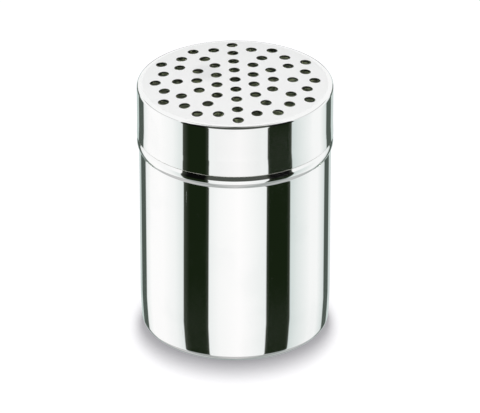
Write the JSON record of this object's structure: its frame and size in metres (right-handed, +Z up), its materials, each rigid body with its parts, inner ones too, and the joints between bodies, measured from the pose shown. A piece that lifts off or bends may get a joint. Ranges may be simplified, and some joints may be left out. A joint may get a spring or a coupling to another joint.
{
  "type": "spice shaker",
  "caption": "Cylindrical polished steel spice shaker: a drawn cup with a rolled bead under a domed, perforated slip-on lid.",
  "frame": {"origin": "centre of the container's foot, on the surface it stands on", "axes": "+Z up the axis of the shaker; +Y along one spoke of the lid's hole pattern"},
  "size_m": [0.0702, 0.0702, 0.0968],
  "materials": {
    "polished_stainless": "mirror-polished stainless steel with faint wiping marks"
  },
  "bodies": {
    "container": {"container": "polished_stainless"},
    "lid": {"perforated_lid": "polished_stainless"}
  },
  "joints": [
    {"name": "lid_lift", "type": "slide", "parent": "container", "child": "lid", "axis": [0, 0, 1], "range_m": [0, 0.03]}
  ]
}
